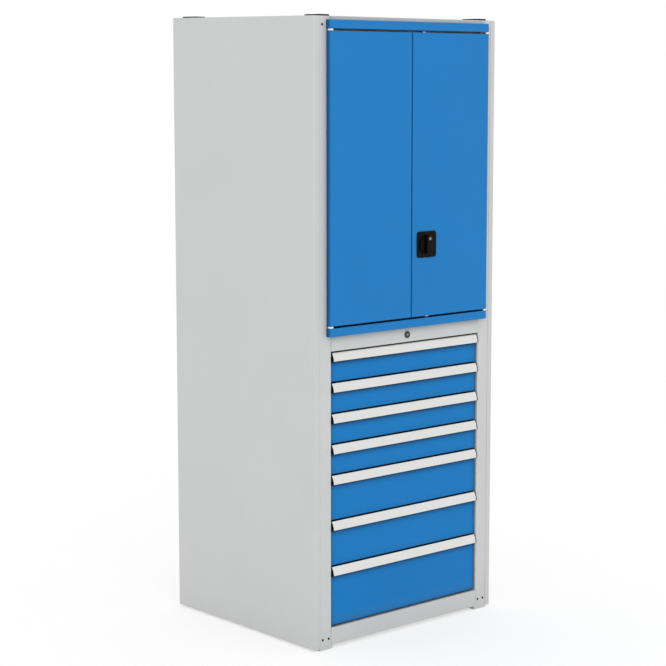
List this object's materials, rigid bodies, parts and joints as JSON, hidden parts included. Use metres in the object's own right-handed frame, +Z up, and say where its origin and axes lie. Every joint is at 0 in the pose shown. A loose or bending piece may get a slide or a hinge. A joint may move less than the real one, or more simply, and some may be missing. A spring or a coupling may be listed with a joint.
{
  "type": "storage cabinet",
  "caption": "Tall steel storage cabinet with a two-door cupboard over a stack of drawers, with a turning knob, locking rods and a drawer lock.",
  "frame": {"origin": "on the floor, under the middle of the bounding box", "axes": "+X to the right seen from the front, +Y from the doors to the back, +Z up"},
  "size_m": [0.795, 0.7736, 2.03],
  "materials": {
    "frame_grey": "satin powder coat",
    "door_blue": "satin powder coat",
    "black_plastic": "satin",
    "zinc_steel": "zinc plated",
    "white_nylon": "matte",
    "chrome": "polished",
    "grip_aluminium": "anodised satin"
  },
  "bodies": {
    "cabinet": {"front_left_post": "frame_grey", "front_right_post": "frame_grey", "rear_left_post": "frame_grey", "rear_right_post": "frame_grey", "left_side_panel": "frame_grey", "right_side_panel": "frame_grey", "rear_panel": "frame_grey", "top_panel": "frame_grey", "base_panel": "frame_grey", "divider_panel": "frame_grey", "door_header": "door_blue", "door_footer": "door_blue", "corner_caps": "black_plastic", "hinge_pins": "zinc_steel", "hinge_washers": "white_nylon", "shelf_upper": "frame_grey", "shelf_lower": "frame_grey", "shelf_clips": "zinc_steel", "cabinet_runners": "zinc_steel", "lock_housing": "chrome"},
    "left_door": {"left_door": "door_blue"},
    "right_door": {"right_door": "door_blue", "knob_plate": "black_plastic"},
    "door_knob": {"door_knob": "black_plastic", "knob_key_lock": "chrome", "knob_cam": "zinc_steel"},
    "upper_rod": {"upper_lock_rod": "zinc_steel"},
    "lower_rod": {"lower_lock_rod": "zinc_steel"},
    "drawer_lock": {"drawer_lock": "chrome"},
    "lock_bar": {"lock_bar": "zinc_steel"},
    "levelling_screw_left": {"levelling_screw_left": "zinc_steel"},
    "levelling_screw_right": {"levelling_screw_right": "zinc_steel"},
    "drawer_1": {"drawer_1_front": "door_blue", "drawer_1_tray": "frame_grey", "drawer_1_grip": "grip_aluminium"},
    "carriage_1": {"drawer_1_carriages": "zinc_steel"},
    "drawer_2": {"drawer_2_front": "door_blue", "drawer_2_tray": "frame_grey", "drawer_2_grip": "grip_aluminium"},
    "carriage_2": {"drawer_2_carriages": "zinc_steel"},
    "drawer_3": {"drawer_3_front": "door_blue", "drawer_3_tray": "frame_grey", "drawer_3_grip": "grip_aluminium"},
    "carriage_3": {"drawer_3_carriages": "zinc_steel"},
    "drawer_4": {"drawer_4_front": "door_blue", "drawer_4_tray": "frame_grey", "drawer_4_grip": "grip_aluminium"},
    "carriage_4": {"drawer_4_carriages": "zinc_steel"},
    "drawer_5": {"drawer_5_front": "door_blue", "drawer_5_tray": "frame_grey", "drawer_5_grip": "grip_aluminium"},
    "carriage_5": {"drawer_5_carriages": "zinc_steel"},
    "drawer_6": {"drawer_6_front": "door_blue", "drawer_6_tray": "frame_grey", "drawer_6_grip": "grip_aluminium"},
    "carriage_6": {"drawer_6_carriages": "zinc_steel"},
    "drawer_7": {"drawer_7_front": "door_blue", "drawer_7_tray": "frame_grey", "drawer_7_grip": "grip_aluminium"},
    "carriage_7": {"drawer_7_carriages": "zinc_steel"}
  },
  "joints": [
    {"name": "left_door_hinge", "type": "hinge", "parent": "cabinet", "child": "left_door", "pos_m": [-0.3413, -0.36135, 1.51735], "axis": [0, 0, -1], "range_deg": [0, 170]},
    {"name": "right_door_hinge", "type": "hinge", "parent": "cabinet", "child": "right_door", "pos_m": [0.3413, -0.36135, 1.51735], "axis": [0, 0, 1], "range_deg": [0, 170]},
    {"name": "knob_turn", "type": "hinge", "parent": "right_door", "child": "door_knob", "pos_m": [0.065, -0.36755, 1.292], "axis": [0, 1, 0], "range_deg": [0, 90]},
    {"name": "upper_rod_slide", "type": "slide", "parent": "right_door", "child": "upper_rod", "axis": [0, 0, 1], "range_m": [0, 0.018]},
    {"name": "lower_rod_slide", "type": "slide", "parent": "right_door", "child": "lower_rod", "axis": [0, 0, -1], "range_m": [0, 0.018]},
    {"name": "drawer_lock_turn", "type": "hinge", "parent": "cabinet", "child": "drawer_lock", "pos_m": [0, -0.34715, 0.9962], "axis": [0, -1, 0], "range_deg": [0, 90]},
    {"name": "lock_bar_slide", "type": "slide", "parent": "cabinet", "child": "lock_bar", "axis": [0, 0, 1], "range_m": [0, 0.011]},
    {"name": "drawer_1_slide", "type": "slide", "parent": "cabinet", "child": "drawer_1", "axis": [0, -1, 0], "range_m": [0, 0.6]},
    {"name": "carriage_1_slide", "type": "slide", "parent": "cabinet", "child": "carriage_1", "axis": [0, -1, 0], "range_m": [0, 0.3]},
    {"name": "drawer_2_slide", "type": "slide", "parent": "cabinet", "child": "drawer_2", "axis": [0, -1, 0], "range_m": [0, 0.6]},
    {"name": "carriage_2_slide", "type": "slide", "parent": "cabinet", "child": "carriage_2", "axis": [0, -1, 0], "range_m": [0, 0.3]},
    {"name": "drawer_3_slide", "type": "slide", "parent": "cabinet", "child": "drawer_3", "axis": [0, -1, 0], "range_m": [0, 0.6]},
    {"name": "carriage_3_slide", "type": "slide", "parent": "cabinet", "child": "carriage_3", "axis": [0, -1, 0], "range_m": [0, 0.3]},
    {"name": "drawer_4_slide", "type": "slide", "parent": "cabinet", "child": "drawer_4", "axis": [0, -1, 0], "range_m": [0, 0.6]},
    {"name": "carriage_4_slide", "type": "slide", "parent": "cabinet", "child": "carriage_4", "axis": [0, -1, 0], "range_m": [0, 0.3]},
    {"name": "drawer_5_slide", "type": "slide", "parent": "cabinet", "child": "drawer_5", "axis": [0, -1, 0], "range_m": [0, 0.6]},
    {"name": "carriage_5_slide", "type": "slide", "parent": "cabinet", "child": "carriage_5", "axis": [0, -1, 0], "range_m": [0, 0.3]},
    {"name": "drawer_6_slide", "type": "slide", "parent": "cabinet", "child": "drawer_6", "axis": [0, -1, 0], "range_m": [0, 0.6]},
    {"name": "carriage_6_slide", "type": "slide", "parent": "cabinet", "child": "carriage_6", "axis": [0, -1, 0], "range_m": [0, 0.3]},
    {"name": "drawer_7_slide", "type": "slide", "parent": "cabinet", "child": "drawer_7", "axis": [0, -1, 0], "range_m": [0, 0.6]},
    {"name": "carriage_7_slide", "type": "slide", "parent": "cabinet", "child": "carriage_7", "axis": [0, -1, 0], "range_m": [0, 0.3]},
    {"name": "levelling_left_slide", "type": "slide", "parent": "cabinet", "child": "levelling_screw_left", "axis": [0, 0, -1], "range_m": [0, 0.04]},
    {"name": "levelling_right_slide", "type": "slide", "parent": "cabinet", "child": "levelling_screw_right", "axis": [0, 0, -1], "range_m": [0, 0.04]}
  ],
  "couplings": [
    {"joint": "knob_turn", "follows": "upper_rod_slide", "rad_per_m": 87.266},
    {"joint": "lower_rod_slide", "follows": "upper_rod_slide", "ratio": 1},
    {"joint": "drawer_lock_turn", "follows": "lock_bar_slide", "rad_per_m": 142.8},
    {"joint": "carriage_1_slide", "follows": "drawer_1_slide", "ratio": 0.5},
    {"joint": "carriage_2_slide", "follows": "drawer_2_slide", "ratio": 0.5},
    {"joint": "carriage_3_slide", "follows": "drawer_3_slide", "ratio": 0.5},
    {"joint": "carriage_4_slide", "follows": "drawer_4_slide", "ratio": 0.5},
    {"joint": "carriage_5_slide", "follows": "drawer_5_slide", "ratio": 0.5},
    {"joint": "carriage_6_slide", "follows": "drawer_6_slide", "ratio": 0.5},
    {"joint": "carriage_7_slide", "follows": "drawer_7_slide", "ratio": 0.5}
  ]
}
